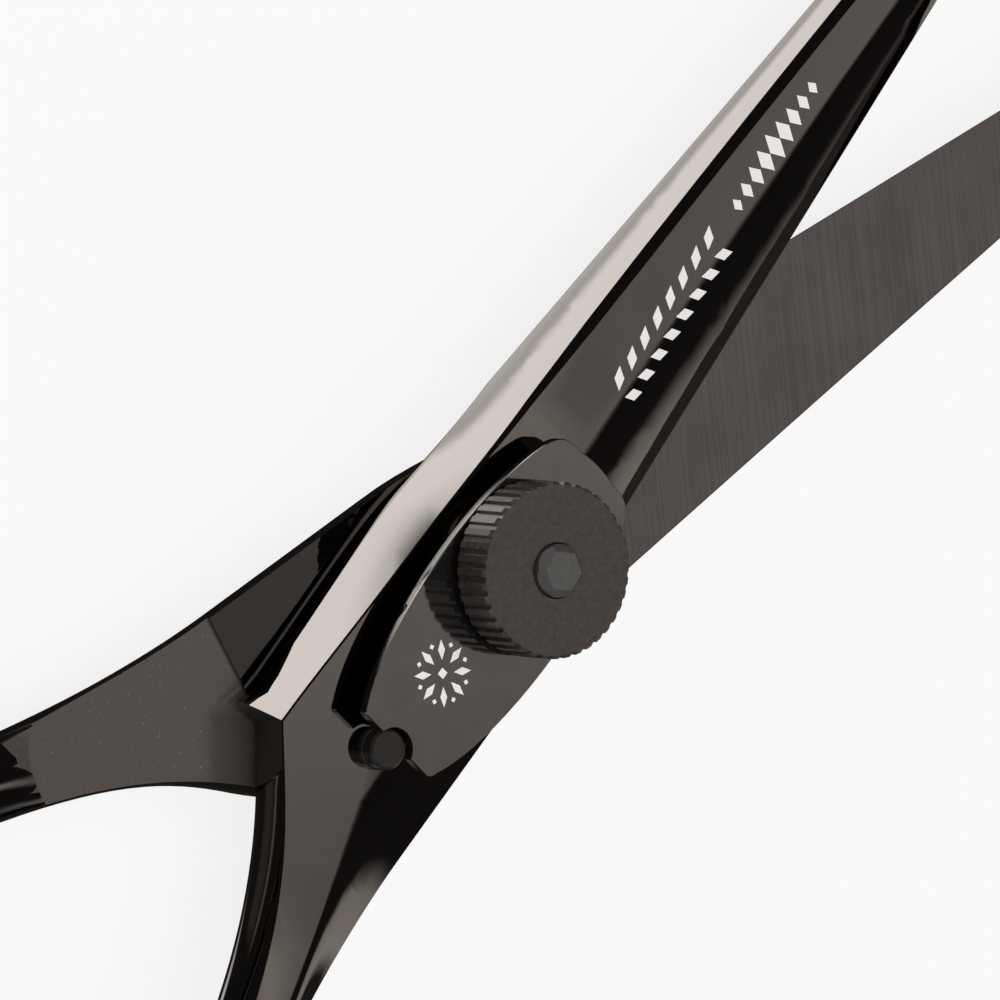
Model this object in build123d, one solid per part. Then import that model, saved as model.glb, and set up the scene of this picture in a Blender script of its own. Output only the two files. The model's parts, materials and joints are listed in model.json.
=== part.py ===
"""Hair cutting shears, 6 inch class, right-handed, with a thumb-nut pivot.

Row frame, in millimetres: the pivot axis is Z, with the adjusting knob on top, and the flat rear
face of the pivot bolt lies on z = 0. +X runs from the pivot between the two open blades. Each half
is drawn in its own frame, with the tip on +X, the cutting edge towards -Y, the ride face on z = 0
and the outer face towards +Z. The front half (thumb) is turned by half the rest opening, and the
rear half (finger) is the same drawing rolled over about X and turned the other way.
"""

import math
import os

from build123d import *

# ---- overall sizes
BLADE_LENGTH = 70.0  # pivot axis to tip
HANDLE_LENGTH = 82.4  # pivot axis to the far side of the finger ring
THUMB_SETBACK = 8.4  # how much nearer the pivot the thumb ring sits
REST_OPENING = 17.9  # angle between the two blades as stored
BODY_THICKNESS = 3.05  # one half, at the pivot
RIDE_GAP = 0.05  # between the two ride faces

# ---- blade
TIP_THICKNESS = 1.2
EDGE_LAND = 0.08  # height of the flat on the cutting edge
HEEL_X = 7.0  # where the cutting edge ends, ahead of the pivot
HEEL_EDGE_Y = 5.1  # edge side half width at the heel
HEEL_SPINE_Y = 5.25  # spine side half width at the heel
TIP_HALF = 0.3
SPINE_POWER = 1.08  # over 1 draws the spine in slightly towards the tip
TAPER_POWER = 2.4  # how fast the blade thins ahead of the heel
WALL_LEAN = 0.27  # how far the spine wall leans in, per unit of height
WALL_BOW = 0.06  # how far that wall bows out, per unit of height
ROLL = 0.12  # height over which the spine wall tucks under at its foot
ROLL_TUCK = 0.8  # how far it tucks under, per unit of that height
RIDGE_CUT = 0.1  # narrow chamfer along the ridge at the pivot
RIDGE_CUT_WIDE = 0.5  # and on the blade
RIDGE_CUT_GROWTH = 0.03  # what it gains per millimetre ahead of the pivot
EDGE_SLOPE = 0.62  # how far the edge side stays a straight bevel before it rounds into the flat
FLAT_SHARE = 0.57  # share of the blade's width that stays flat before the edge side rounds over

# ---- body, from the heel back to the crease
BODY_EDGE_Y = 5.8
BODY_SPINE_Y = 5.6
BODY_WALL = 0.9  # height of the edge side wall
BODY_FLAT_SHARE = 0.45
CREASE_X = -13.9  # where the spine side turns into the shank
CREASE_Y = 5.4  # foot of the spine wall just ahead of the crease
CREASE_RIDGE_Y = 5.08
BODY_BOW = 0.025
BODY_ROLL = 1.0  # the tuck grows behind the heel
ROLL_LENGTH = 9.0
ROLL_OUT = 0.55  # how far the wall moves out with it
LIP = 0.3  # the foot of the wall flares out at the crease
LIP_LENGTH = 1.5
PAD_RADIUS = 4.3  # flat round the pivot on the outer face
WELD_X = -17.0  # blade steel in front, handle steel behind
RELIEF_X = -14.2  # the ride face is relieved behind this line
RELIEF_DEPTH = 0.2
RELIEF_END_X = -26.7
RELIEF_END_RADIUS = 3.1

# ---- shank and rings
SHANK_X = -30.0  # where the shank has left the body
SHANK_START_Y = 4.55  # foot of the shank's spine side at the crease
SHANK_SPINE_Y = -3.8
SHANK_BOW = 0.16  # how far the shank's sides swell, per unit of height
BELLY_FROM = 0.62  # share of the crossing after which the underside rounds down
SHANK_EDGE_Y = -8.0
SHANK_SLOPE = 14.6  # degrees, away from the other half
SHANK_DEPTH = 4.2
SHANK_WAIST = 4.1
FLARE_WIDTH = 9.5  # width of the shank where it runs into its ring
RING_ENTRY = 15.0  # degrees from +X, seen from the ring's centre
RING_WALL = 3.1
RING_DEPTH = 5.6
RING_LAND = 2.0  # length of the straight wall inside a ring
THUMB_BORE = 10.9
FINGER_BORE = 10.4
RING_SPREAD = 28.2  # between the ring centres, across the closed shears

BLADE_STEPS = 16  # slices along each stretch of a half
BODY_STEPS = 20
SHOULDER_STEPS = 20
SHANK_STEPS = 14

# ---- pivot
BOLT_RADIUS = 1.3
BOLT_HEAD_RADIUS = 3.6
BOLT_HEAD_DEPTH = 0.7
SPANNER_RADIUS = 0.45  # two blind holes for the pin spanner that holds the bolt
SPANNER_DEPTH = 0.4
SPANNER_X = 2.4
NECK_SIDE = 3.6
NECK_DEPTH = 2.0
BOLT_CLEARANCE = 0.5  # round the bolt where it passes through the front half
BEARING_RADIUS = 3.0
BEARING_DEPTH = 2.5
FLANGE_RADIUS = 3.6
FLANGE_DEPTH = 0.6
RACE_WALL = 0.5
BALL_RADIUS = 0.4
BALL_COUNT = 9
CAGE_DEPTH = 1.1
WASHER_RADIUS = 4.4
WASHER_DEPTH = 0.5
PLATE_LIFT = 1.05  # spring plate above the outer face
PLATE_DEPTH = 0.5
PLATE_BACK = 11.2
PLATE_FRONT = 6.35
PLATE_CORNER = 0.3  # rounding of the plate's rear corners
PLATE_HALF = 4.6  # control height of the sides, which peak at nine tenths of it
PLATE_TAIL_HALF = 2.45
PLATE_NOSE_HALF = 3.15
PLATE_BORE = 2.3
SEAT_RING_WALL = 0.8
SLEEVE_RADIUS = 2.0
PIN_X = -11.45
PIN_RADIUS = 1.0
PIN_NOTCH_RADIUS = 1.1
PIN_FLANGE_RADIUS = 1.07
PIN_FLANGE_DEPTH = 0.35
PIN_THREAD_RADIUS = 0.6
PIN_THREAD_DEPTH = 2.2
PIN_SUNK = 0.45  # the screw's head below the plate's top
KNOB_RADIUS = 4.3
KNOB_DEPTH = 2.4
KNURL_COUNT = 40
KNURL_DEPTH = 0.16
KNOB_CHAMFER = 0.16
KNOB_COUNTERBORE = 0.08  # wider than the stud, round its end
KNOB_COUNTERBORE_DEPTH = 0.4
KNOB_GAP = 0.35  # between the spring plate and the knob
STUD_PROUD = 0.6
STUD_TIP = 0.45  # height of the six-sided end of the stud
STUD_TIP_RADIUS = 1.05
DISC_RADIUS = 3.1
DISC_DEPTH = 0.65
LOCK_RING_RADIUS = 2.15
LOCK_RING_DEPTH = 0.8

# ---- stop and finger rest
BUMPER_RADIUS = 1.8
BUMPER_STEM_RADIUS = 0.9
BUMPER_STEM_LENGTH = 1.6
BUMPER_GAP = 0.3  # left to the finger ring with the shears closed
BUMPER_SINK = 0.5
REST_ANGLE = 200.0  # where the finger rest leaves its ring, in degrees from +X
REST_BEND = 13.0
REST_SWEEP = 80.0
REST_RADIUS = 2.0
REST_TIP_RADIUS = 1.35
REST_STUD_RADIUS = 0.9
REST_STUD_LENGTH = 1.8
REST_WASHER = 0.5
REST_WASHER_RADIUS = 2.3

# ---- clearances
RUN = 0.03  # running fits
LOOSE = 0.1  # pieces that only pass each other

# ---- places that follow from the sizes
Z_RIDE = BOLT_HEAD_DEPTH + BODY_THICKNESS
Z_FRONT = Z_RIDE + RIDE_GAP
Z_FACE = Z_FRONT + BODY_THICKNESS
Z_FLANGE = Z_FACE + FLANGE_DEPTH
Z_PLATE = Z_FACE + PLATE_LIFT
Z_SLEEVE = Z_PLATE + PLATE_DEPTH + RUN
Z_DISC = Z_SLEEVE + RUN
Z_KNOB = Z_PLATE + PLATE_DEPTH + KNOB_GAP
Z_KNOB_TOP = Z_KNOB + KNOB_DEPTH
HALF_TURN = REST_OPENING / 2
PITCH_RADIUS = (BOLT_RADIUS + BEARING_RADIUS) / 2
FINGER_RING_X = -(HANDLE_LENGTH - FINGER_BORE - RING_WALL)
THUMB_RING_X = FINGER_RING_X + THUMB_SETBACK
RING_Y = -RING_SPREAD / 2


def mix(a, b, share):
    return a + (b - a) * share


def smooth(share):
    share = min(1.0, max(0.0, share))
    return share * share * (3 - 2 * share)


def smooth_ends(t):
    """Closes the steps up towards t = 0, where the blade narrows fastest."""
    return t**1.3


def bezier(points, t):
    """The point at t on a cubic curve given by four plan points."""
    u = 1 - t
    weights = (u * u * u, 3 * u * u * t, 3 * u * t * t, t * t * t)
    return tuple(sum(w * p[i] for w, p in zip(weights, points)) for i in (0, 1))


def straight(start, end):
    return [start, *((mix(start[0], end[0], s), mix(start[1], end[1], s)) for s in (1 / 3, 2 / 3)), end]


def prism(wide, ridge, top, wall, flat_share, cut, bow, roll=ROLL):
    """Seven cubic edges of a body slice, as (across, up): across is 0 on the edge side.

    The spine side is widest at the height roll, and tucks under below it.
    """
    flat = ridge * flat_share
    corner = flat * 0.75
    low = top - 0.6 * cut
    out = 4 / 3 * bow * (top - roll)
    foot = wide - ROLL_TUCK * roll
    slope = (ridge - wide + 3 * out) / (low - roll)
    return [
        [(foot, 0), (mix(foot, wide, 0.7), 0), (wide - slope * roll / 2, roll / 2), (wide, roll)],
        [(wide, roll), (mix(wide, ridge, 1 / 3) + out, mix(roll, low, 1 / 3)),
         (mix(wide, ridge, 2 / 3) + out, mix(roll, low, 2 / 3)), (ridge, low)],
        straight((ridge, low), (ridge - cut, top)),
        straight((ridge - cut, top), (flat, top)),
        [(flat, top), (mix(corner, flat, 0.2), top), (corner * EDGE_SLOPE, mix(wall, top, EDGE_SLOPE)), (0, wall)],
        straight((0, wall), (0, 0)),
        straight((0, 0), (foot, 0)),
    ]


def oval(width, depth, middle_up):
    """The same seven edges laid round an ellipse, starting at the foot of the spine side."""
    angles = [-50, -25, 40, 55, 90, 180, 230, 310]
    edges = []
    for start, end in zip(angles, angles[1:]):
        a, b = math.radians(start), math.radians(end)
        k = 4 / 3 * math.tan((b - a) / 4)
        ring = [
            (math.cos(a), math.sin(a)),
            (math.cos(a) - k * math.sin(a), math.sin(a) + k * math.cos(a)),
            (math.cos(b) + k * math.sin(b), math.sin(b) - k * math.cos(b)),
            (math.cos(b), math.sin(b)),
        ]
        edges.append([(width / 2 * (1 + c), middle_up + depth / 2 * s) for c, s in ring])
    return edges


def slice_wire(edge_foot, spine_foot, shape, round_shape=None, roundness=0.0, belly=0.0):
    """Stands a slice up in plan between its two feet, shared out between two shapes."""
    width = math.dist(edge_foot, spine_foot)
    along = [(s - e) / width for s, e in zip(spine_foot, edge_foot)]
    curves = []
    for i, controls in enumerate(shape):
        if round_shape:
            last = i == len(shape) - 1
            shares = [roundness, belly, belly, roundness] if last else [roundness] * 4
            controls = [
                (mix(p[0], q[0], share), mix(p[1], q[1], share))
                for p, q, share in zip(controls, round_shape[i], shares)
            ]
        curves.append(
            Edge.make_bezier(
                *(Vector(edge_foot[0] + along[0] * a, edge_foot[1] + along[1] * a, up) for a, up in controls)
            )
        )
    return Wire(curves)


def blade_slice(x):
    left = (BLADE_LENGTH - x) / (BLADE_LENGTH - HEEL_X)
    edge_y = -mix(TIP_HALF / 2, HEEL_EDGE_Y, left)
    spine_y = TIP_HALF + (HEEL_SPINE_Y - TIP_HALF) * left**SPINE_POWER
    top = TIP_THICKNESS + (BODY_THICKNESS - TIP_THICKNESS) * left**TAPER_POWER
    foot = spine_y - edge_y
    lean = min(WALL_LEAN * top, foot / 3)
    cut = min(RIDGE_CUT + RIDGE_CUT_GROWTH * x, RIDGE_CUT_WIDE, foot / 4)
    shape = prism(foot, foot - lean, top, min(EDGE_LAND, top / 4), FLAT_SHARE, cut, WALL_BOW, min(ROLL, foot / 4))
    return slice_wire((x, edge_y), (x, spine_y), shape)


def body_slice(x):
    """A slice between the heel and the crease; the wall rises and the sides swell behind the heel."""
    back = smooth((HEEL_X - x) / (HEEL_X + 3))
    rear = smooth(x / CREASE_X)
    edge_y = -mix(HEEL_EDGE_Y, BODY_EDGE_Y, back)
    spine_y = mix(mix(HEEL_SPINE_Y, BODY_SPINE_Y, back), CREASE_Y, rear)
    ridge_y = mix(spine_y - WALL_LEAN * BODY_THICKNESS, CREASE_RIDGE_Y, rear)
    spine_y += LIP * smooth((CREASE_X + LIP_LENGTH - x) / LIP_LENGTH)
    roll = mix(ROLL, BODY_ROLL, smooth((HEEL_X - x) / ROLL_LENGTH))
    spine_y += (roll - ROLL) * ROLL_OUT
    bow = mix(WALL_BOW, BODY_BOW, back)
    cut = RIDGE_CUT + RIDGE_CUT_GROWTH * max(0.0, x)
    wall = mix(EDGE_LAND, BODY_WALL, back)
    share = mix(FLAT_SHARE, BODY_FLAT_SHARE, back)
    shape = prism(spine_y - edge_y, ridge_y - edge_y, BODY_THICKNESS, wall, share, cut, bow, roll)
    return slice_wire((x, edge_y), (x, spine_y), shape)


def shoulder_slice(t):
    """A slice of the crossing behind the crease, t running from the crease to the shank."""
    run = SHANK_X - CREASE_X
    fall = math.tan(math.radians(SHANK_SLOPE))
    lead = -run * 0.29
    spine = (
        (CREASE_X, SHANK_START_Y),
        (CREASE_X - lead, SHANK_START_Y - lead * 0.92),
        (SHANK_X + lead * 1.9, SHANK_SPINE_Y + lead * 1.9 * fall),
        (SHANK_X, SHANK_SPINE_Y),
    )
    edge = (
        (CREASE_X, -BODY_EDGE_Y),
        (CREASE_X + run * 0.35, -BODY_EDGE_Y),
        (SHANK_X - 1.1 - run * 0.33, SHANK_EDGE_Y - run * 0.33 * fall * 0.8),
        (SHANK_X - 1.1, SHANK_EDGE_Y),
    )
    a, b = bezier(edge, t), bezier(spine, t)
    width = math.dist(a, b)
    overhang = (CREASE_RIDGE_Y - SHANK_START_Y) * (1 - smooth(t * 1.6))
    share = mix(BODY_FLAT_SHARE, 0.5, t)
    cut = mix(RIDGE_CUT, 0.3, t)
    return slice_wire(
        a,
        b,
        prism(width, width + overhang, BODY_THICKNESS, BODY_WALL, share, cut, mix(WALL_BOW, SHANK_BOW, smooth(t * 5))),
        oval(width, mix(BODY_THICKNESS, SHANK_DEPTH, t), BODY_THICKNESS / 2),
        0.55 * smooth((t - 0.4) / 0.6),
        smooth((t - BELLY_FROM) / 0.3),
    )


def shank_slice(t, ring, bore, ring_up):
    """A slice of the shank proper, t running from the end of the crossing to the ring's wall."""
    slope = math.radians(SHANK_SLOPE)
    entry = math.radians(RING_ENTRY)
    start = (SHANK_X - 0.55, (SHANK_SPINE_Y + SHANK_EDGE_Y) / 2)
    reach = bore + RING_WALL / 2
    end = (ring[0] + reach * math.cos(entry), ring[1] + reach * math.sin(entry))
    third = math.dist(start, end) / 3
    path = (
        start,
        (start[0] - third * math.cos(slope), start[1] - third * math.sin(slope)),
        (end[0] + third * math.cos(entry), end[1] + third * math.sin(entry)),
        end,
    )
    near, far = bezier(path, max(0.0, t - 0.01)), bezier(path, min(1.0, t + 0.01))
    length = math.dist(near, far)
    side = (-(near[1] - far[1]) / length, (near[0] - far[0]) / length)
    middle = bezier(path, t)
    width = mix(SHANK_SPINE_Y - SHANK_EDGE_Y + 0.15, SHANK_WAIST, smooth(t * 2.5))
    width += (FLARE_WIDTH - SHANK_WAIST) * max(0.0, (t - 0.5) / 0.5) ** 2.6
    depth = mix(SHANK_DEPTH, RING_DEPTH - 0.5, t * t)
    a = tuple(m - s * width / 2 for m, s in zip(middle, side))
    b = tuple(m + s * width / 2 for m, s in zip(middle, side))
    up = mix(BODY_THICKNESS / 2, ring_up, smooth(t))
    return slice_wire(
        a,
        b,
        prism(width, width, BODY_THICKNESS, BODY_WALL, 0.5, 0.3, SHANK_BOW),
        oval(width, depth, up),
        mix(0.55, 1.0, smooth(t / 0.35)),
        1.0,
    )


def ring_solid(ring, bore, ring_up):
    """A finger ring with a short straight wall inside and a rounded outside."""
    outer, half, land = bore + RING_WALL, RING_DEPTH / 2, RING_LAND / 2
    crown = bore + RING_WALL * 0.52
    k = 0.5523

    def quarter(start, end, first_up):
        dr, dz = end[0] - start[0], end[1] - start[1]
        if first_up:
            c1, c2 = (start[0], start[1] + k * dz), (end[0] - k * dr, end[1])
        else:
            c1, c2 = (start[0] + k * dr, start[1]), (end[0], end[1] - k * dz)
        return Edge.make_bezier(*(Vector(r, 0, z) for r, z in (start, c1, c2, end)))

    profile = Wire(
        [
            Edge.make_line(Vector(bore, 0, -land), Vector(bore, 0, land)),
            quarter((bore, land), (crown, half), True),
            quarter((crown, half), (outer, 0), False),
            quarter((outer, 0), (crown, -half), True),
            quarter((crown, -half), (bore, -land), False),
        ]
    )
    return revolve(Face(profile), Axis.Z).moved(Location((ring[0], ring[1], ring_up)))


def disc(radius, low, high, x=0.0, y=0.0):
    return Pos(x, y, (low + high) / 2) * Cylinder(radius, high - low)


def pad():
    """The flat round the pivot, which keeps its full thickness."""
    return disc(PAD_RADIUS, 0, BODY_THICKNESS)


def half_solid(ring_x, bore, ring_up):
    """Blade, body, shank and ring of one half in one piece, in the half's own frame."""
    ring = (ring_x, RING_Y)
    blade = [blade_slice(mix(BLADE_LENGTH, HEEL_X, smooth_ends(i / BLADE_STEPS))) for i in range(BLADE_STEPS + 1)]
    body = [body_slice(mix(HEEL_X, CREASE_X, i / BODY_STEPS)) for i in range(BODY_STEPS + 1)]
    handle = [shoulder_slice(i / SHOULDER_STEPS) for i in range(SHOULDER_STEPS + 1)]
    handle += [shank_slice(i / SHANK_STEPS, ring, bore, ring_up) for i in range(1, SHANK_STEPS + 1)]
    blade, body, handle = (Solid.make_loft(slices, ruled=True) for slices in (blade, body, handle))
    whole = Part() + blade + body + handle + ring_solid(ring, bore, ring_up) + pad()
    return whole - ride_tool()


def ride_tool():
    """Everything in front of the ride face, with the relief behind the pivot and its round end."""
    reach, deep = 200.0, 20.0
    centre_x = RELIEF_END_X + RELIEF_END_RADIUS
    centre_y = (SHANK_SPINE_Y + SHANK_EDGE_Y) / 2 + 1.8
    front = Pos(RELIEF_X + reach / 2, 0, -deep / 2) * Box(reach, 80, deep)
    relief = Pos((RELIEF_X + centre_x) / 2, 0, (RELIEF_DEPTH - deep) / 2) * Box(
        RELIEF_X - centre_x, 80, deep + RELIEF_DEPTH
    )
    return front + relief + disc(RELIEF_END_RADIUS, -deep, RELIEF_DEPTH, centre_x, centre_y)


def split(whole):
    """The blade steel and the handle steel, which meet in a flat weld."""
    reach = 200.0
    front = Pos(WELD_X + reach / 2, 0, 0) * Box(reach, reach, reach)
    return whole & front, whole - front


def thumb_place(shape):
    return Rot(0, 0, HALF_TURN) * Pos(0, 0, Z_FRONT) * shape


def finger_place(shape):
    return Rot(0, 0, -HALF_TURN) * Pos(0, 0, Z_RIDE) * Rot(180, 0, 0) * shape


def thumb_half():
    whole = half_solid(THUMB_RING_X, THUMB_BORE, RING_DEPTH / 2 - Z_FRONT)
    whole -= disc(BOLT_RADIUS + BOLT_CLEARANCE, -1, BODY_THICKNESS + 1)
    whole -= disc(BEARING_RADIUS, BODY_THICKNESS + FLANGE_DEPTH - BEARING_DEPTH, BODY_THICKNESS + 1)
    whole -= disc(PIN_THREAD_RADIUS, BODY_THICKNESS - PIN_THREAD_DEPTH, BODY_THICKNESS + 1, PIN_X)
    whole -= bumper_local(0.0)
    return split(whole)


def finger_half():
    whole = half_solid(FINGER_RING_X, FINGER_BORE, Z_RIDE - RING_DEPTH / 2)
    whole -= disc(BOLT_RADIUS, -1, BODY_THICKNESS + 1)
    whole -= Pos(0, 0, BODY_THICKNESS - NECK_DEPTH / 2 + 0.5) * Box(NECK_SIDE, NECK_SIDE, NECK_DEPTH + 1)
    whole -= disc(WASHER_RADIUS + LOOSE, -1, WASHER_DEPTH)
    whole -= rest_stud()
    return split(whole)


def chamfered(radius, low, high, cut_low=0.0, cut_high=0.0, bore=0.0):
    """A turned piece: radius, ends, chamfers on the outside, and an optional bore."""
    points = [
        (bore, low),
        (radius - cut_low, low),
        (radius, low + cut_low),
        (radius, high - cut_high),
        (radius - cut_high, high),
        (bore, high),
    ]
    clean = [p for i, p in enumerate(points) if i == 0 or math.dist(p, points[i - 1]) > 1e-6]
    return revolve(make_face(Plane.XZ * Polyline(*clean, close=True)), Axis.Z)


def six_corners():
    """Directions of the six-sided stud end's corners."""
    return [math.radians(60 * i + 14) for i in range(6)]


def pivot_bolt():
    head = chamfered(BOLT_HEAD_RADIUS, 0, BOLT_HEAD_DEPTH, cut_low=0.2)
    neck = Rot(0, 0, -HALF_TURN) * Pos(0, 0, BOLT_HEAD_DEPTH + NECK_DEPTH / 2) * Box(
        NECK_SIDE, NECK_SIDE, NECK_DEPTH
    )
    top = Z_KNOB_TOP + STUD_PROUD
    stud = chamfered(BOLT_RADIUS, BOLT_HEAD_DEPTH, top)
    tip_slope = (BOLT_RADIUS * 1.16 - STUD_TIP_RADIUS) / STUD_TIP
    low_radius = STUD_TIP_RADIUS + tip_slope * (top + 0.01)
    tip = Solid.make_loft(
        [
            Wire.make_polygon([Vector(r * math.cos(a), r * math.sin(a), z) for a in six_corners()])
            for r, z in ((low_radius, 0.0), (STUD_TIP_RADIUS - tip_slope * 0.01, top + 0.01))
        ],
        ruled=True,
    )
    stud = (Part() + stud) & tip
    holes = disc(SPANNER_RADIUS, -1, SPANNER_DEPTH, SPANNER_X) + disc(SPANNER_RADIUS, -1, SPANNER_DEPTH, -SPANNER_X)
    return head + neck + stud - holes


def ride_washer():
    return chamfered(WASHER_RADIUS, Z_RIDE - WASHER_DEPTH, Z_RIDE, bore=BOLT_RADIUS + RUN)


def groove():
    middle = Z_FLANGE - BEARING_DEPTH / 2
    return Pos(0, 0, middle) * Torus(PITCH_RADIUS, BALL_RADIUS + RUN)


def outer_race():
    race = chamfered(BEARING_RADIUS, Z_FLANGE - BEARING_DEPTH, Z_FLANGE, bore=BEARING_RADIUS - RACE_WALL)
    flange = chamfered(FLANGE_RADIUS, Z_FACE, Z_FLANGE, cut_high=0.12, bore=BEARING_RADIUS - RACE_WALL)
    return race + flange - groove()


def inner_race():
    ring = chamfered(BOLT_RADIUS + RACE_WALL, Z_FLANGE - BEARING_DEPTH, Z_FLANGE, bore=BOLT_RADIUS)
    return ring - groove()


def ball_places():
    middle = Z_FLANGE - BEARING_DEPTH / 2
    return [
        Rot(0, 0, 360 * i / BALL_COUNT) * Pos(PITCH_RADIUS, 0, middle) for i in range(BALL_COUNT)
    ]


def cage():
    room = BEARING_RADIUS - BOLT_RADIUS - 2 * RACE_WALL
    wall = room - 2 * 0.07
    middle = Z_FLANGE - BEARING_DEPTH / 2
    ring = chamfered(
        PITCH_RADIUS + wall / 2, middle - CAGE_DEPTH / 2, middle + CAGE_DEPTH / 2, bore=PITCH_RADIUS - wall / 2
    )
    for place in ball_places():
        ring -= place * Rot(0, 90, 0) * Cylinder(BALL_RADIUS + RUN, 2 * room)
    return ring


def balls():
    return Compound([place * Sphere(BALL_RADIUS) for place in ball_places()])


def seat_ring():
    return chamfered(
        FLANGE_RADIUS - 0.1, Z_FLANGE, Z_PLATE, bore=FLANGE_RADIUS - 0.1 - SEAT_RING_WALL
    )


def thrust_sleeve():
    return chamfered(SLEEVE_RADIUS, Z_FLANGE, Z_SLEEVE, cut_high=0.1, bore=BOLT_RADIUS + RUN)


def spring_plate():
    """Eye-shaped plate: blunt behind, round in front, with a notch for the locating screw."""
    tail, shoulder = (-PLATE_BACK, PLATE_TAIL_HALF), (PLATE_FRONT - 1.3, PLATE_NOSE_HALF)
    corner, nose = (PLATE_FRONT, 1.2), (PLATE_FRONT + 0.12, 0.0)
    edges = []
    for sign in (1, -1):
        long_side = [tail, (tail[0] + 4.0, PLATE_HALF), (shoulder[0] - 3.8, PLATE_HALF), shoulder]
        bend = [shoulder, (PLATE_FRONT - 0.1, PLATE_NOSE_HALF - 0.4), (PLATE_FRONT, 2.2), corner]
        front = [corner, (PLATE_FRONT + 0.08, 0.8), (nose[0], 0.4), nose]
        for curve in (long_side, bend, front):
            edges.append(Edge.make_bezier(*(Vector(x, sign * y, 0) for x, y in curve)))
    edges.append(Edge.make_line(Vector(tail[0], -tail[1], 0), Vector(tail[0], tail[1], 0)))
    plate = extrude(Face(Wire(edges)), PLATE_DEPTH, dir=(0, 0, 1))
    plate = fillet(plate.edges().filter_by(Axis.Z).sort_by(Axis.X)[:2], PLATE_CORNER)
    plate = chamfer(plate.faces().sort_by(Axis.Z)[-1].outer_wire().edges(), 0.05)
    plate -= disc(PLATE_BORE, -1, 1)
    plate -= disc(PIN_NOTCH_RADIUS, -1, 1, PIN_X)
    return Rot(0, 0, HALF_TURN) * Pos(0, 0, Z_PLATE) * plate


def locating_screw():
    top = Z_PLATE + PLATE_DEPTH - PIN_SUNK
    body = chamfered(PIN_THREAD_RADIUS, Z_FACE - PIN_THREAD_DEPTH, Z_FACE + 0.1)
    flange = chamfered(PIN_FLANGE_RADIUS, Z_FACE, Z_FACE + PIN_FLANGE_DEPTH, cut_high=0.08)
    head = chamfered(PIN_RADIUS, Z_FACE, top, cut_high=0.12)
    return Rot(0, 0, HALF_TURN) * Pos(PIN_X, 0, 0) * (body + flange + head)


def thrust_disc():
    return chamfered(DISC_RADIUS, Z_DISC, Z_DISC + DISC_DEPTH, bore=BOLT_RADIUS + RUN)


def adjusting_knob():
    """Straight-knurled thumb nut, recessed below for its disc and its lock ring."""
    points = []
    for i in range(KNURL_COUNT):
        for part, low in ((0.0, 1), (0.3, 1), (0.42, 0), (0.88, 0)):
            radius = KNOB_RADIUS - KNURL_DEPTH * low
            angle = 2 * math.pi * (i + part) / KNURL_COUNT
            points.append((radius * math.cos(angle), radius * math.sin(angle)))
    knurled = Pos(0, 0, Z_KNOB) * extrude(make_face(Polyline(*points, close=True)), KNOB_DEPTH)
    blank = chamfered(KNOB_RADIUS + 0.01, Z_KNOB, Z_KNOB_TOP, KNOB_CHAMFER, KNOB_CHAMFER)
    knob = (knurled & blank) - disc(BOLT_RADIUS + RUN, Z_KNOB - 1, Z_KNOB_TOP + 1)
    knob -= disc(DISC_RADIUS + LOOSE, Z_KNOB - 1, Z_DISC + DISC_DEPTH)
    knob -= disc(BOLT_RADIUS + KNOB_COUNTERBORE, Z_KNOB_TOP - KNOB_COUNTERBORE_DEPTH, Z_KNOB_TOP + 1)
    return knob - disc(LOCK_RING_RADIUS, Z_DISC, Z_DISC + DISC_DEPTH + LOCK_RING_DEPTH)


def lock_ring():
    low = Z_DISC + DISC_DEPTH
    return chamfered(LOCK_RING_RADIUS, low, low + LOCK_RING_DEPTH, bore=BOLT_RADIUS + RUN)


def bumper_frame():
    """Centre, direction and free length of the stop, in the thumb half's own frame with the shears closed."""
    across = (FINGER_RING_X - THUMB_RING_X, -RING_Y - RING_Y)
    distance = math.hypot(*across)
    free = distance - THUMB_BORE - FINGER_BORE - 2 * RING_WALL - BUMPER_GAP
    return (THUMB_RING_X, RING_Y, RING_DEPTH / 2 - Z_FRONT), math.degrees(math.atan2(across[1], across[0])), free


def bumper_local(dome):
    """The stop as a tool (dome 0) or as the piece itself (dome 1)."""
    centre, angle, free = bumper_frame()
    outer = THUMB_BORE + RING_WALL
    low = outer - BUMPER_SINK
    stem = chamfered(BUMPER_STEM_RADIUS, low - BUMPER_STEM_LENGTH, low + 0.1)
    high = outer + free if dome else outer + 1.0
    button = chamfered(BUMPER_RADIUS, low, high, cut_high=0.45 * dome)
    return Pos(*centre) * Rot(0, 0, angle) * Rot(0, 90, 0) * (stem + button)


def rest_frame(outside):
    """The place on the finger ring's back where the finger rest screws in."""
    centre = Pos(FINGER_RING_X, RING_Y, Z_RIDE - RING_DEPTH / 2)
    return centre * Rot(0, 0, REST_ANGLE) * Pos(FINGER_BORE + RING_WALL + outside, 0, 0)


def rest_stud():
    """The finger rest's screw and the flat its washer sits on, as one tool."""
    screw = Rot(0, 90, 0) * chamfered(REST_STUD_RADIUS, -REST_STUD_LENGTH - 0.3, 0)
    flat = Rot(0, 90, 0) * chamfered(REST_WASHER_RADIUS, -0.3, 4.0)
    return rest_frame(0) * (screw + flat)


def rest_washer():
    ring = chamfered(REST_WASHER_RADIUS - LOOSE, 0, REST_WASHER, bore=REST_STUD_RADIUS)
    return finger_place(rest_frame(-0.3) * (Rot(0, 90, 0) * ring))


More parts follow.
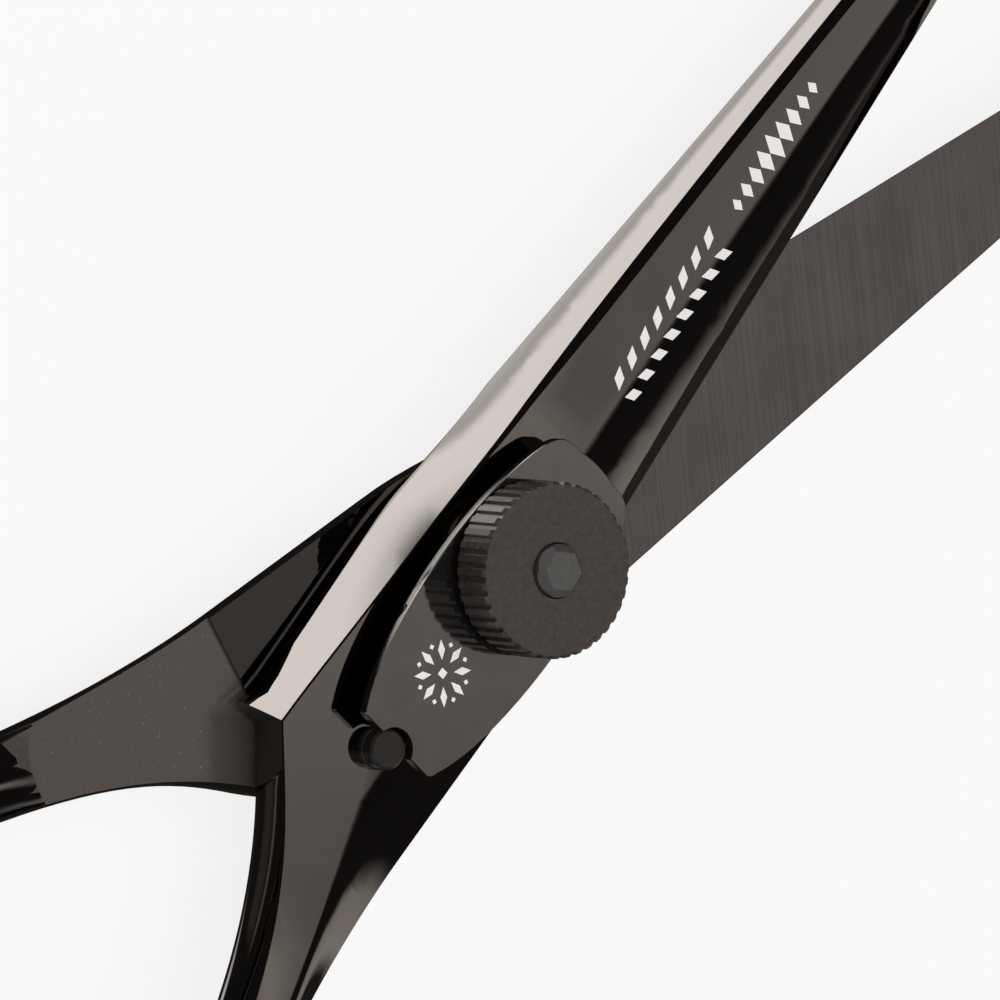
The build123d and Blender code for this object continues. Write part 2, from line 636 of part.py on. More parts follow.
def finger_rest():
    """Curved, tapering rest with a ball end and its screw."""
    stations = [0, 0.15, 0.35, 0.55, 0.75, 0.9, 1.0]
    slices = []
    for s in stations:
        turn = math.radians(REST_SWEEP * s)
        x, y = REST_BEND * math.sin(turn), REST_BEND * (1 - math.cos(turn))
        plane = Plane((x, y, 0), x_dir=(0, 0, 1), z_dir=(math.cos(turn), math.sin(turn), 0))
        slices.append(Wire.make_circle(mix(REST_RADIUS, REST_TIP_RADIUS, smooth(s)), plane))
    arm = Part() + Solid.make_loft(slices)
    turn = math.radians(REST_SWEEP)
    tip = Pos(REST_BEND * math.sin(turn), REST_BEND * (1 - math.cos(turn)), 0)
    arm += tip * Sphere(REST_TIP_RADIUS + 0.35)
    screw = Rot(0, 90, 0) * chamfered(REST_STUD_RADIUS, -REST_STUD_LENGTH - REST_WASHER, 0.1)
    return finger_place(rest_frame(REST_WASHER - 0.3) * (arm + screw))


def main():
    os.makedirs("parts", exist_ok=True)
    thumb_blade, thumb_handle = thumb_half()
    finger_blade, finger_handle = finger_half()
    pieces = {
        "thumb_blade": thumb_place(thumb_blade),
        "thumb_handle": thumb_place(thumb_handle),
        "finger_blade": finger_place(finger_blade),
        "finger_handle": finger_place(finger_handle),
        "pivot_bolt": pivot_bolt(),
        "ride_washer": ride_washer(),
        "bearing_outer_race": outer_race(),
        "bearing_inner_race": inner_race(),
        "bearing_cage": cage(),
        "bearing_balls": balls(),
        "plate_seat_ring": seat_ring(),
        "thrust_sleeve": thrust_sleeve(),
        "spring_plate": spring_plate(),
        "locating_screw": locating_screw(),
        "thrust_disc": thrust_disc(),
        "adjusting_knob": adjusting_knob(),
        "knob_lock_ring": lock_ring(),
        "bumper": thumb_place(bumper_local(1.0)),
        "finger_rest": finger_rest(),
        "finger_rest_washer": rest_washer(),
    }
    for name, shape in pieces.items():
        export_step(shape, f"parts/{name}.step")
        print(name, round(sum(solid.volume for solid in shape.solids()), 3))


main()
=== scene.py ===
"""Looks of the hair cutting shears: finishes, etched ornaments, studio and camera.

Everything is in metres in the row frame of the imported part: +Z along the pivot towards the knob,
+X between the open blades, and z = 0 the plane the shears rest on.
"""

import json
import logging
import math
from dataclasses import dataclass, field
from enum import Enum

import bpy
from mathutils import Matrix, Vector

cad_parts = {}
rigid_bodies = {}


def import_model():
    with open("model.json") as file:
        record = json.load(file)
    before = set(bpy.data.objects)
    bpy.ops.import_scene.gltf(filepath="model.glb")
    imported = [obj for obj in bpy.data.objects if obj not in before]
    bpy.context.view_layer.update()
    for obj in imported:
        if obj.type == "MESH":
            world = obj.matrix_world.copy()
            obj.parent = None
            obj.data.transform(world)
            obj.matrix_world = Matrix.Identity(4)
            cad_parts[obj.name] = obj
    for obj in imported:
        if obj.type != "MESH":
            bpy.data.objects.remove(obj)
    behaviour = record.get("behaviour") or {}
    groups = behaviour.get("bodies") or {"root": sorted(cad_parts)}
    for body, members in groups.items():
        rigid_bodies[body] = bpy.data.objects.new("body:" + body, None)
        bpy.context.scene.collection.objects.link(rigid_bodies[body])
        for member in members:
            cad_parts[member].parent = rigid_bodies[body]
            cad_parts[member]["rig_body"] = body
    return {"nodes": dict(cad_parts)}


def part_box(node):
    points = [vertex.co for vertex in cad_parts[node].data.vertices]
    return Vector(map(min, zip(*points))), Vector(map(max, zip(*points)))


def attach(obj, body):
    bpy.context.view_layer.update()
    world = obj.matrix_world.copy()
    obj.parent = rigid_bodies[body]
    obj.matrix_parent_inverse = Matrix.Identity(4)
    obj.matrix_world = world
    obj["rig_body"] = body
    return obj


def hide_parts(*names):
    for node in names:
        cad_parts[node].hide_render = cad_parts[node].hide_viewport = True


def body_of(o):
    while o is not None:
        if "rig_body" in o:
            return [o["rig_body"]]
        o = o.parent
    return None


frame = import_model()

LOG = logging.getLogger("shears")
MM = 0.001

Colour = tuple[float, float, float]


class Half(Enum):
    """The two halves, by how far each is turned from the row's +X, in degrees."""

    THUMB = 8.95
    FINGER = -8.95


class Slot(Enum):
    """Material slots of the part's record."""

    BLACK_POLISH = "black_polish"
    BLACK_SATIN = "black_satin"
    PLATE_POLISH = "plate_polish"
    KNOB_SATIN = "knob_satin"
    BEARING_STEEL = "bearing_steel"
    SPRING_STEEL = "spring_steel"
    ACETAL = "acetal"
    NYLON = "nylon"
    RUBBER = "rubber"


# ---------------------------------------------------------------- shader building


class NodeTree:
    """A tree of shader nodes, with short helpers that add to it."""

    def __init__(self, tree: bpy.types.NodeTree) -> None:
        """Keeps the tree.

        Args:
            tree: The tree of a material or of the world.
        """
        self.tree = tree

    def add(self, kind: str, **settings: object) -> bpy.types.Node:
        """Adds a node.

        Args:
            kind: The node's Blender type.
            settings: Properties to set on it.

        Returns:
            The new node.
        """
        node = self.tree.nodes.new(kind)
        for key, value in settings.items():
            setattr(node, key, value)
        return node

    def join(self, out: bpy.types.NodeSocket, into: bpy.types.NodeSocket) -> None:
        """Links an output to an input."""
        self.tree.links.new(out, into)

    def feed(self, socket: bpy.types.NodeSocket, value: object) -> None:
        """Sets a socket from a number or colour, or links it from another socket.

        Args:
            socket: The input to fill.
            value: A number, a colour, a vector or an output socket.
        """
        if isinstance(value, bpy.types.NodeSocket):
            self.join(value, socket)
        elif isinstance(value, (int, float)):
            socket.default_value = value
        else:
            given = tuple(value)
            socket.default_value = given + (1.0,) if len(socket.default_value) > len(given) else given

    def place(self, turn: float = 0.0, scale: Colour = (1.0, 1.0, 1.0)) -> bpy.types.NodeSocket:
        """Object coordinates, turned about Z and stretched.

        Args:
            turn: Degrees to turn the coordinates by.
            scale: Stretch along each turned axis.

        Returns:
            The vector output.
        """
        coords = self.add("ShaderNodeTexCoord")
        mapping = self.add("ShaderNodeMapping")
        mapping.inputs["Rotation"].default_value = (0.0, 0.0, math.radians(turn))
        self.join(coords.outputs["Object"], mapping.inputs["Vector"])
        if scale == (1.0, 1.0, 1.0):
            return mapping.outputs["Vector"]
        stretch = self.add("ShaderNodeMapping")
        stretch.inputs["Scale"].default_value = scale
        self.join(mapping.outputs["Vector"], stretch.inputs["Vector"])
        return stretch.outputs["Vector"]

    def split(self, vector: bpy.types.NodeSocket) -> tuple[bpy.types.NodeSocket, ...]:
        """The X, Y and Z of a vector."""
        node = self.add("ShaderNodeSeparateXYZ")
        self.join(vector, node.inputs[0])
        return node.outputs[0], node.outputs[1], node.outputs[2]

    def math(self, operation: str, *values: object) -> bpy.types.NodeSocket:
        """One Math node.

        Args:
            operation: Blender's name for the operation.
            values: Numbers or sockets for its inputs.

        Returns:
            The result.
        """
        node = self.add("ShaderNodeMath", operation=operation)
        for socket, value in zip(node.inputs, values):
            self.feed(socket, value)
        return node.outputs[0]

    def ramp(
        self, value: object, low: float, high: float, to_low: float = 0.0, to_high: float = 1.0
    ) -> bpy.types.NodeSocket:
        """Maps a value smoothly from one range to another and holds it there.

        Args:
            value: The socket to map.
            low: Where the source range starts.
            high: Where it ends.
            to_low: The result at low.
            to_high: The result at high.

        Returns:
            The mapped value.
        """
        node = self.add("ShaderNodeMapRange", interpolation_type="SMOOTHSTEP")
        given = {"Value": value, "From Min": low, "From Max": high, "To Min": to_low, "To Max": to_high}
        for name, filling in given.items():
            self.feed(node.inputs[name], filling)
        return node.outputs["Result"]

    def noise(
        self, vector: bpy.types.NodeSocket, scale: float, detail: float = 3.0, roughness: float = 0.55
    ) -> bpy.types.NodeSocket:
        """Fractal noise.

        Args:
            vector: Where it is read.
            scale: Features per metre.
            detail: Octaves.
            roughness: Weight of the finer octaves.

        Returns:
            The noise value, from 0 to 1.
        """
        node = self.add("ShaderNodeTexNoise")
        given = {"Vector": vector, "Scale": scale, "Detail": detail, "Roughness": roughness}
        for name, filling in given.items():
            self.feed(node.inputs[name], filling)
        return node.outputs["Fac"]

    def mix(self, share: object, one: Colour, other: Colour) -> bpy.types.NodeSocket:
        """Mixes two colours.

        Args:
            share: 0 for the first colour, 1 for the second.
            one: The first colour.
            other: The second colour.

        Returns:
            The mixed colour.
        """
        node = self.add("ShaderNodeMix", data_type="RGBA")
        self.feed(node.inputs[0], share)
        self.feed(node.inputs[6], one)
        self.feed(node.inputs[7], other)
        return node.outputs[2]

    def plus(self, one: object, other: object) -> bpy.types.NodeSocket:
        """The sum of two colours."""
        node = self.add("ShaderNodeVectorMath", operation="ADD")
        self.feed(node.inputs[0], one)
        self.feed(node.inputs[1], other)
        return node.outputs[0]

    def scale(self, colour: Colour, by: object) -> bpy.types.NodeSocket:
        """A colour made lighter or darker.

        Args:
            colour: The colour.
            by: The number it is multiplied by.

        Returns:
            The scaled colour.
        """
        node = self.add("ShaderNodeVectorMath", operation="SCALE")
        node.inputs[0].default_value = colour
        self.feed(node.inputs["Scale"], by)
        return node.outputs[0]


class Shader(NodeTree):
    """A material under construction, which ends in a Principled shader."""

    def __init__(self, name: str) -> None:
        """Starts an empty material that ends in a Principled shader.

        Args:
            name: The material's name.
        """
        self.material = bpy.data.materials.new(name)
        self.material.use_nodes = True
        super().__init__(self.material.node_tree)
        self.tree.nodes.clear()
        self.output = self.add("ShaderNodeOutputMaterial")
        self.surface = self.add("ShaderNodeBsdfPrincipled")
        self.join(self.surface.outputs["BSDF"], self.output.inputs["Surface"])

    def base(self, **values: object) -> None:
        """Fills Principled sockets, with the underscores of each keyword read as spaces.

        Args:
            values: Socket names and what goes into them.
        """
        for name, value in values.items():
            self.feed(self.surface.inputs[name.replace("_", " ")], value)

    def bump(self, height: bpy.types.NodeSocket, depth: float, strength: float = 1.0) -> None:
        """Bumps the surface.

        Args:
            height: The pattern, from 0 to 1.
            depth: Its real height in metres.
            strength: How much of it is used.
        """
        node = self.add("ShaderNodeBump")
        self.feed(node.inputs["Strength"], strength)
        self.feed(node.inputs["Distance"], depth)
        self.join(height, node.inputs["Height"])
        self.join(node.outputs["Normal"], self.surface.inputs["Normal"])


@dataclass(frozen=True)
class MirrorBlack:
    """Mirror-polished black coat, ground satin on the inner faces of a half, with painted shade that can
    darken the ride face.
    """

    half: Half
    # painted shade: the share of the coat's brightness kept on the ride face, between the halves
    ride_painted_shade: float = 1.0
    colour: Colour = (0.205, 0.19, 0.178)
    ground: Colour = (0.084, 0.073, 0.068)
    roughness: float = 0.02
    ground_roughness: float = 0.33
    ground_metallic: float = 0.35
    relieved: Colour = (0.085, 0.075, 0.068)
    dust: Colour = (0.2, 0.19, 0.18)
    relieved_roughness: float = 0.16
    grind_angle: float = 67.0
    polished_from: float = -14.2 * MM
    polished_to: float = 7.0 * MM

    def ride_z(self) -> float:
        """Height of the face on which the half rides on the other."""
        if self.half is Half.THUMB:
            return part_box("thumb_blade")[0].z
        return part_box("finger_blade")[1].z

    def make(self, name: str) -> bpy.types.Material:
        """Builds the material.

        Args:
            name: Its name.

        Returns:
            The material.
        """
        shader = Shader(name)
        facing = 1.0 if self.half is Half.FINGER else -1.0
        own = shader.place(-self.half.value)
        x, y, z = shader.split(own)
        normal = shader.add("ShaderNodeNewGeometry").outputs["Normal"]
        _, _, up = shader.split(normal)
        flat = shader.math("GREATER_THAN", shader.math("MULTIPLY", up, facing), 0.97)
        near = shader.math("COMPARE", z, self.ride_z(), 0.3 * MM)
        behind = shader.math("LESS_THAN", x, self.polished_from)
        ahead = shader.ramp(x, self.polished_to - 0.1 * MM, self.polished_to + 0.1 * MM)
        facing_in = shader.math("MULTIPLY", flat, near)
        blade = shader.math("MULTIPLY", facing_in, ahead)
        relief = shader.math("MULTIPLY", facing_in, behind)
        ride_shade_mask = shader.math("SUBTRACT", facing_in, shader.math("ADD", blade, relief))
        along_grind = shader.place(-self.half.value - self.grind_angle * facing, (60.0, 9000.0, 1.0))
        lines = shader.noise(along_grind, 1.0, 4.0, 0.7)
        drift = shader.noise(own, 260.0, 4.0)
        dust = shader.ramp(shader.noise(own, 5200.0, 2.0), 0.66, 0.74, 0.0, 0.5)
        streaks = shader.ramp(lines, 0.35, 0.65, 0.84, 1.16)
        tone = shader.math("MULTIPLY", streaks, shader.ramp(drift, 0.3, 0.7, 0.93, 1.07))
        ground = shader.scale(self.ground, tone)
        # painted shade: the coat is made darker on the ride face, between the two halves
        coat = shader.scale(self.colour, shader.ramp(ride_shade_mask, 0.0, 1.0, 1.0, self.ride_painted_shade))
        dusty = shader.mix(dust, self.relieved, self.dust)
        colour = shader.mix(relief, shader.mix(blade, coat, ground), dusty)
        rough = shader.math(
            "ADD",
            shader.math("MULTIPLY", blade, self.ground_roughness - self.roughness),
            shader.math("MULTIPLY", relief, self.relieved_roughness - self.roughness),
        )
        satin = shader.math("MAXIMUM", blade, shader.math("MULTIPLY", relief, 0.8))
        shader.base(
            Base_Color=colour,
            Metallic=shader.ramp(satin, 0.0, 1.0, 1.0, self.ground_metallic),
            Roughness=shader.math("ADD", rough, self.roughness),
        )
        shader.bump(shader.math("MULTIPLY", lines, blade), 0.004 * MM, 0.35)
        return shader.material


@dataclass(frozen=True)
class Metal:
    """Even or faintly mottled metal; a satin coat has a metallic share below one."""

    colour: Colour
    roughness: float
    metallic: float = 1.0
    mottle: float = 0.0
    grain: float = 900.0

    def make(self, name: str) -> bpy.types.Material:
        """Builds the material.

        Args:
            name: Its name.

        Returns:
            The material.
        """
        shader = Shader(name)
        shader.base(Metallic=self.metallic)
        if not self.mottle:
            shader.base(Base_Color=self.colour, Roughness=self.roughness)
            return shader.material
        spots = shader.noise(shader.place(), self.grain, 6.0, 0.65)
        fine = shader.noise(shader.place(), self.grain * 9, 3.0)
        light = tuple(c * (1 + self.mottle) for c in self.colour)
        dark = tuple(c * (1 - self.mottle) for c in self.colour)
        shader.base(
            Base_Color=shader.mix(shader.ramp(spots, 0.35, 0.65), dark, light),
            Roughness=shader.ramp(spots, 0.3, 0.7, self.roughness * 0.85, self.roughness * 1.15),
        )
        shader.bump(fine, 0.004 * MM, 0.3 * self.roughness)
        return shader.material


@dataclass(frozen=True)
class Plain:
    """Even plastic, rubber, paper or ink."""

    colour: Colour
    roughness: float
    glow: float = 0.0
    albedo: float = 1.0

    def make(self, name: str) -> bpy.types.Material:
        """Builds the material.

        Args:
            name: Its name.

        Returns:
            The material.
        """
        shader = Shader(name)
        shader.base(Base_Color=tuple(c * self.albedo for c in self.colour), Roughness=self.roughness)
        if self.glow:
            shader.base(Emission_Color=self.colour, Emission_Strength=self.glow)
        return shader.material


class Finishes:
    """Every finish of the shears, each made once and kept by name."""

    table: dict[str, object] = {
        "thumb steel": MirrorBlack(Half.THUMB),
        # painted shade: the finger half's ride face keeps only 0.35 of the coat's brightness
        "finger steel": MirrorBlack(Half.FINGER, ride_painted_shade=0.35),
        "spring plate": Metal((0.18, 0.168, 0.158), 0.08, metallic=0.97, mottle=0.06, grain=700.0),
        "knob": Metal((0.125, 0.109, 0.099), 0.3, metallic=0.78, mottle=0.16, grain=2600.0),
        "stud": Metal((0.105, 0.1, 0.094), 0.3, metallic=0.5, mottle=0.08, grain=2500.0),
        "screw": Metal((0.035, 0.031, 0.028), 0.25, metallic=0.6),
        "bearing": Metal((0.55, 0.56, 0.58), 0.15),
        "spring steel": Metal((0.4, 0.4, 0.41), 0.3),
        "black plastic": Plain((0.03, 0.03, 0.03), 0.45),
        "rubber": Plain((0.02, 0.02, 0.02), 0.7),
        # painted light: the white etching glows faintly, though it is no lamp
        "etching_painted_glow": Plain((0.6, 0.59, 0.575), 0.6, glow=0.12),
        "paper": Plain((0.9, 0.9, 0.9), 0.9, glow=0.935, albedo=0.1),
    }

    def __init__(self) -> None:
        """Starts with nothing made."""
        self.made: dict[str, bpy.types.Material] = {}

    def get(self, name: str) -> bpy.types.Material:
        """The material of a finish.

        Args:
            name: Its name in the table.

        Returns:
            The material, made at the first call.
        """
        if name not in self.made:
            self.made[name] = self.table[name].make(name)
        return self.made[name]


# ---------------------------------------------------------------- dressing the CAD nodes


@dataclass
class CadDress:
    """Gives each CAD node that stays in view its finish; the record slot listed with each finish is not
    used.
    """

    finishes: Finishes
    coats: dict[str, tuple[str, Slot]] = field(
        default_factory=lambda: {
            "thumb_blade": ("thumb steel", Slot.BLACK_POLISH),
            "thumb_handle": ("thumb steel", Slot.BLACK_POLISH),
            "finger_blade": ("finger steel", Slot.BLACK_POLISH),
            "finger_handle": ("finger steel", Slot.BLACK_POLISH),
            "pivot_bolt": ("stud", Slot.BLACK_SATIN),
            "ride_washer": ("black plastic", Slot.ACETAL),
            "bearing_outer_race": ("bearing", Slot.BEARING_STEEL),
            "bearing_inner_race": ("bearing", Slot.BEARING_STEEL),
            "bearing_cage": ("black plastic", Slot.NYLON),
            "bearing_balls": ("bearing", Slot.BEARING_STEEL),
            "plate_seat_ring": ("screw", Slot.BLACK_SATIN),
            "thrust_sleeve": ("spring steel", Slot.SPRING_STEEL),
            "spring_plate": ("spring plate", Slot.PLATE_POLISH),
            "locating_screw": ("screw", Slot.BLACK_SATIN),
            "thrust_disc": ("spring steel", Slot.SPRING_STEEL),
            "adjusting_knob": ("knob", Slot.KNOB_SATIN),
            "knob_lock_ring": ("black plastic", Slot.NYLON),
            "bumper": ("rubber", Slot.RUBBER),
            "finger_rest": ("finger steel", Slot.BLACK_POLISH),
            "finger_rest_washer": ("rubber", Slot.RUBBER),
        }
    )

    polished: dict[str, float] = field(
        default_factory=lambda: {
            "thumb_blade": 24.0,
            "thumb_handle": 24.0,
            "finger_blade": 24.0,
            "finger_handle": 24.0,
            "finger_rest": 30.0,
            "spring_plate": 30.0,
        }
    )

    def smooth_copy(self, node: str, angle: float) -> bpy.types.Object:
        """Makes a merged, smooth-shaded copy of a node and puts it in the node's place.

        Args:
            node: The CAD node.
            angle: Edges sharper than this many degrees stay crisp.

        Returns:
            The copy, riding the node's body.
        """
        source = frame["nodes"][node]
        bpy.ops.object.select_all(action="DESELECT")
        source.select_set(True)
        bpy.context.view_layer.objects.active = source
        bpy.ops.object.duplicate()
        copy = bpy.context.object
        copy.name = copy.data.name = node + "_coat"
        bpy.ops.object.parent_clear(type="CLEAR_KEEP_TRANSFORM")
        bpy.ops.object.transform_apply(location=True, rotation=True, scale=True)
        bpy.ops.object.mode_set(mode="EDIT")
        bpy.ops.mesh.select_all(action="SELECT")
        bpy.ops.mesh.remove_doubles(threshold=0.0005 * MM)
        bpy.ops.object.mode_set(mode="OBJECT")
        if copy.data.has_custom_normals:
            bpy.ops.mesh.customdata_custom_splitnormals_clear()
        bpy.ops.object.shade_smooth_by_angle(angle=math.radians(angle))
        even = copy.modifiers.new("even", "WEIGHTED_NORMAL")
        even.keep_sharp, even.weight = True, 50
        bpy.ops.object.modifier_apply(modifier=even.name)
        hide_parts(node)
        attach(copy, body_of(source)[0])
        return copy

    def dress(self) -> None:
        """Puts each node's finish in its material slots."""
        for node, (finish, slot) in self.coats.items():
            polished = node in self.polished
            obj = self.smooth_copy(node, self.polished[node]) if polished else frame["nodes"][node]
            obj.data.materials.clear()
            obj.data.materials.append(self.finishes.get(finish))
            LOG.info("dressed %s in %s", node, finish)


# ---------------------------------------------------------------- etched ornaments


@dataclass
class Etching:
    """White etched ornaments on the front blade and the spring plate, all made of small lozenges.

    Places are in millimetres in the frame of the thumb half, turned by its rest angle.
    """

    finishes: Finishes
    skin: float = 0.012 * MM
    lozenge: tuple[float, float] = (0.62, 0.3)
    rows_from: float = 11.2
    rows_to: float = 20.0
    rows_count: int = 8
    row_gap: float = 1.25
    rows_y: float = 0.3
    rows_drift: float = 0.04
    rows_lean: float = 38.0
    vine_from: float = 22.4
    vine_to: float = 29.8
    vine_count: int = 9
    rosette_at: tuple[float, float] = (-6.9, 0.3)
    rosette_radius: float = 1.15
    petals: int = 8

    def stamp(
        self, name: str, x: float, y: float, turn: float, size: tuple[float, float]
    ) -> bpy.types.Object:
        """Makes one flat lozenge above its place.

        Args:
            name: The object's name.
            x: Millimetres along the half.
            y: Millimetres across it.
            turn: Degrees it is turned by, in the half.
            size: Its half length and half width in millimetres.

        Returns:
            The sheet, 30 mm above the rest plane.
        """
        angle = math.radians(Half.THUMB.value)
        place = (x * math.cos(angle) - y * math.sin(angle), x * math.sin(angle) + y * math.cos(angle))
        bpy.ops.object.select_all(action="DESELECT")
        bpy.ops.mesh.primitive_circle_add(
            vertices=4, radius=MM, fill_type="NGON", location=(place[0] * MM, place[1] * MM, 30 * MM)
        )
        sheet = bpy.context.object
        sheet.name = sheet.data.name = name
        sheet.scale = (size[0], size[1], 1.0)
        sheet.rotation_euler.z = math.radians(Half.THUMB.value + turn)
        bpy.ops.object.transform_apply(location=True, rotation=True, scale=True)
        bpy.ops.object.mode_set(mode="EDIT")
        bpy.ops.mesh.select_all(action="SELECT")
        bpy.ops.mesh.subdivide(number_cuts=2)
        bpy.ops.object.mode_set(mode="OBJECT")
        return sheet

    def lay(self, name: str, stamps: list[bpy.types.Object], node: str) -> bpy.types.Object:
        """Joins the stamps, drops them on a node and gives them a hair of thickness.

        Args:
            name: The finished piece's name.
            stamps: Its lozenges.
            node: The CAD node they are etched on.

        Returns:
            The finished piece.
        """
        bpy.ops.object.select_all(action="DESELECT")
        for sheet in stamps:
            sheet.select_set(True)
        piece = bpy.context.view_layer.objects.active = stamps[0]
        bpy.ops.object.join()
        piece.name = piece.data.name = name
        bpy.ops.object.transform_apply(location=True, rotation=True, scale=True)
        drop = piece.modifiers.new("drop", "SHRINKWRAP")
        drop.target, drop.wrap_method, drop.use_negative_direction = frame["nodes"][node], "PROJECT", True
        drop.use_project_z, drop.use_positive_direction, drop.offset = True, False, self.skin
        bpy.ops.object.modifier_apply(modifier=drop.name)
        thick = piece.modifiers.new("thick", "SOLIDIFY")
        thick.thickness, thick.offset = self.skin, -1.0
        bpy.ops.object.modifier_apply(modifier=thick.name)
        bpy.ops.object.mode_set(mode="EDIT")
        bpy.ops.mesh.select_all(action="SELECT")
        bpy.ops.mesh.normals_make_consistent(inside=False)
        bpy.ops.object.mode_set(mode="OBJECT")
        piece.data.materials.clear()
        piece.data.materials.append(self.finishes.get("etching_painted_glow"))
        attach(piece, body_of(frame["nodes"][node])[0])
        LOG.info("etched %s", name)
        return piece

    def rows(self) -> None:
        """Two rows of lozenges, like a braid, along the blade's flat."""
        step = (self.rows_to - self.rows_from) / (self.rows_count - 1)
        stamps = []
        for i in range(self.rows_count):
            x = self.rows_from + i * step
            for side in (-1, 1):
                y = self.rows_y + side * self.row_gap / 2 + self.rows_drift * i
                stamps.append(self.stamp("stamp", x, y, self.rows_lean * side, self.lozenge))
        self.lay("blade_braid", stamps, "thumb_blade")

    def vine(self) -> None:
        """A run of lozenges that swells in the middle, further along."""
        step = (self.vine_to - self.vine_from) / (self.vine_count - 1)
        stamps = []
        for i in range(self.vine_count):
            x = self.vine_from + i * step
            swell = 1.0 - abs(i - (self.vine_count - 1) / 2) / (self.vine_count / 2)
            size = (0.26 + 0.2 * swell, 0.35 + 0.5 * swell)
            stamps.append(self.stamp("stamp", x, 0.9 + 0.035 * i, 0.0, size))
        self.lay("blade_vine", stamps, "thumb_blade")

    def rosette(self) -> None:
        """Petals and a ring of dots on the spring plate."""
        stamps = []
        for i in range(self.petals):
            turn = 360.0 * i / self.petals
            petal = (self.rosette_radius, (0.5, 0.2), 0.0)
            dot = (self.rosette_radius * 1.25, (0.14, 0.14), 180.0 / self.petals)
            for reach, size, shift in (petal, dot):
                way = math.radians(turn + shift)
                x, y = self.rosette_at[0] + reach * math.cos(way), self.rosette_at[1] + reach * math.sin(way)
                stamps.append(self.stamp("stamp", x, y, turn + shift, size))
        stamps.append(self.stamp("stamp", *self.rosette_at, 45.0, (0.28, 0.28)))
        self.lay("plate_rosette", stamps, "spring_plate")

    def build(self) -> None:
        """Adds every ornament."""
        self.rows()
        self.vine()
        self.rosette()


# ---------------------------------------------------------------- studio


@dataclass(frozen=True)
class Panel:
    """A soft bright rectangle of the room, by direction. Azimuths count from the camera's level right.

    All angles are in degrees; an edge is how far the brightness takes to fall off on that side.
    """

    azimuth: float
    elevation: float
    half_width: float
    half_height: float
    side_edge: float
    top_edge: float
    colour: Colour

    def glow(self, shader: NodeTree, direction: bpy.types.NodeSocket, turn: float) -> bpy.types.NodeSocket:
        """Builds the panel's brightness in every direction.

        Args:
            shader: Where its nodes go.
            direction: The direction looked in.
            turn: The azimuth of the row's +X.

        Returns:
            The colour it adds.
        """
        rotate = shader.add("ShaderNodeVectorRotate", rotation_type="Z_AXIS")
        shader.join(direction, rotate.inputs["Vector"])
        rotate.inputs["Angle"].default_value = math.radians(turn - self.azimuth)
        x, y, z = shader.split(rotate.outputs["Vector"])
        aside = shader.math("ABSOLUTE", shader.math("ARCTAN2", y, x))
        height = shader.math("ARCSINE", z)
        above = shader.math("ABSOLUTE", shader.math("SUBTRACT", height, math.radians(self.elevation)))
        shares = [
            shader.ramp(angle, math.radians(half), math.radians(half + edge), 1.0, 0.0)
            for angle, half, edge in (
                (aside, self.half_width, self.side_edge),
                (above, self.half_height, self.top_edge),
            )
        ]
        return shader.scale(self.colour, shader.math("MULTIPLY", *shares))


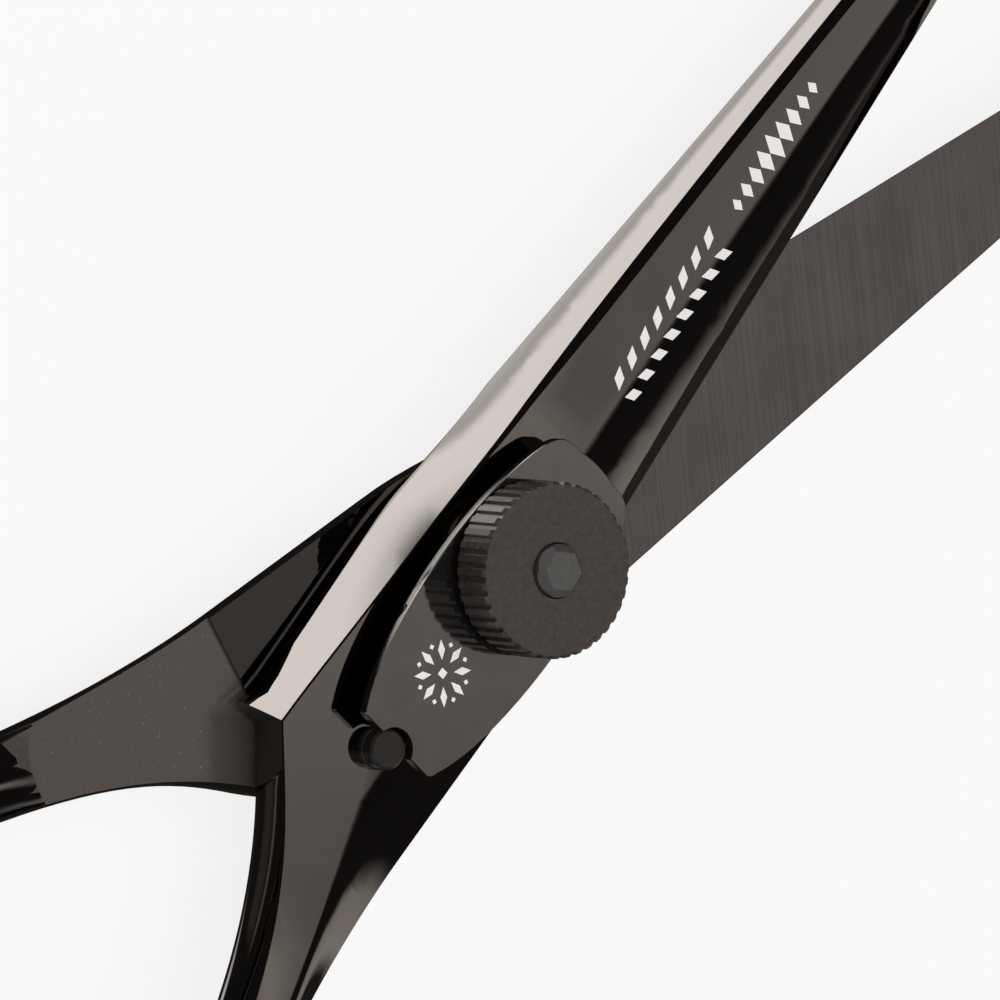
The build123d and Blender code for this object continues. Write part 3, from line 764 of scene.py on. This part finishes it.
@dataclass
class Studio:
    """Pale floor, reflection cards, soft lights and the camera."""

    finishes: Finishes
    floor_side: float = 12.0
    tilt: float = 34.0
    roll: float = 4.5
    blade_turn: float = 44.7
    distance: float = 0.62
    view_width: float = 48.3 * MM
    aim_right: float = 2.76 * MM
    aim_down: float = 3.41 * MM
    dark: Colour = (0.022, 0.019, 0.017)
    overhead_side: float = 3.0
    overhead_height: float = 1.6
    overhead_power: float = 57.0
    panels: tuple[Panel, ...] = (
        Panel(3.5, 61.0, 1.0, 1.0, 13.0, 26.0, (0.64, 0.6, 0.575)),
        Panel(-16.0, -14.0, 14.0, 5.0, 9.0, 9.0, (0.5, 0.46, 0.43)),
        Panel(120.0, -12.0, 16.0, 8.0, 16.0, 26.0, (3.1, 3.06, 3.0)),
        Panel(112.0, -60.0, 18.0, 14.0, 14.0, 16.0, (1.7, 1.68, 1.65)),
        Panel(190.0, -34.0, 25.0, 0.5, 6.0, 3.0, (0.24, 0.18, 0.13)),
        Panel(190.0, -50.0, 25.0, 4.0, 6.0, 12.0, (0.07, 0.055, 0.045)),
        Panel(235.0, 45.0, 20.0, 15.0, 12.0, 12.0, (0.5, 0.5, 0.5)),
        Panel(300.0, 40.0, 15.0, 20.0, 12.0, 12.0, (0.7, 0.7, 0.7)),
    )

    def axes(self) -> tuple[Vector, Vector, Vector]:
        """The camera's right, up and backward directions in the row frame."""
        turn = math.radians(self.blade_turn)
        across = Vector((math.cos(turn), -math.sin(turn), 0.0))
        along = Vector((math.sin(turn), math.cos(turn), 0.0))
        rise = Vector((0.0, 0.0, 1.0))
        tilt, roll = math.radians(self.tilt), math.radians(self.roll)
        back = rise * math.cos(tilt) - across * math.sin(tilt)
        level = across * math.cos(tilt) + rise * math.sin(tilt)
        right = level * math.cos(roll) + along * math.sin(roll)
        up = along * math.cos(roll) - level * math.sin(roll)
        return right, up, back

    def camera(self) -> None:
        """Adds the camera, aimed at the pivot from above and to the left."""
        right, up, back = self.axes()
        knob_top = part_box("adjusting_knob")[1].z
        aim = Vector((0.0, 0.0, knob_top)) - right * self.aim_right + up * self.aim_down
        data = bpy.data.cameras.new("studio camera")
        data.sensor_width = 36.0
        data.lens = data.sensor_width * self.distance / self.view_width
        data.clip_start, data.clip_end = 0.05, 50.0
        camera = bpy.data.objects.new("studio camera", data)
        camera.matrix_world = Matrix((right, up, back)).transposed().to_4x4()
        camera.location = aim + back * self.distance
        bpy.context.scene.collection.objects.link(camera)
        bpy.context.scene.camera = camera

    def overhead(self) -> None:
        """Adds the big soft light above, which only matt surfaces show."""
        data = bpy.data.lights.new("overhead", "AREA")
        data.shape, data.size, data.energy = "SQUARE", self.overhead_side, self.overhead_power
        light = bpy.data.objects.new("overhead", data)
        light.location = (0.0, 0.0, self.overhead_height)
        light.visible_glossy = False
        bpy.context.scene.collection.objects.link(light)

    def room(self) -> None:
        """Adds the dark room with soft bright panels that the polished faces show."""
        world = bpy.data.worlds.new("studio")
        world.use_nodes = True
        shader = NodeTree(world.node_tree)
        coords = shader.add("ShaderNodeTexCoord").outputs["Generated"]
        total = None
        for panel in self.panels:
            glow = panel.glow(shader, coords, self.blade_turn)
            total = glow if total is None else shader.plus(total, glow)
        background = world.node_tree.nodes["Background"]
        shader.join(shader.plus(total, self.dark), background.inputs["Color"])
        background.inputs["Strength"].default_value = 1.0
        bpy.context.scene.world = world

    def build(self) -> None:
        """Adds the floor, the lights and the camera."""
        bpy.ops.object.select_all(action="DESELECT")
        bpy.ops.mesh.primitive_plane_add(size=self.floor_side, location=(0.0, 0.0, 0.0))
        floor = bpy.context.object
        floor.name = "floor"
        floor.data.materials.append(self.finishes.get("paper"))
        floor.visible_glossy = False
        self.overhead()
        self.room()
        bpy.context.scene.view_settings.view_transform = "Standard"
        self.camera()
        LOG.info("studio built")


def main() -> None:
    """Builds the looks in order and reports each piece."""
    logging.basicConfig(level=logging.INFO, format="%(message)s")
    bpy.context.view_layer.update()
    finishes = Finishes()
    CadDress(finishes).dress()
    Etching(finishes).build()
    Studio(finishes).build()


if __name__ == "__main__":
    main()
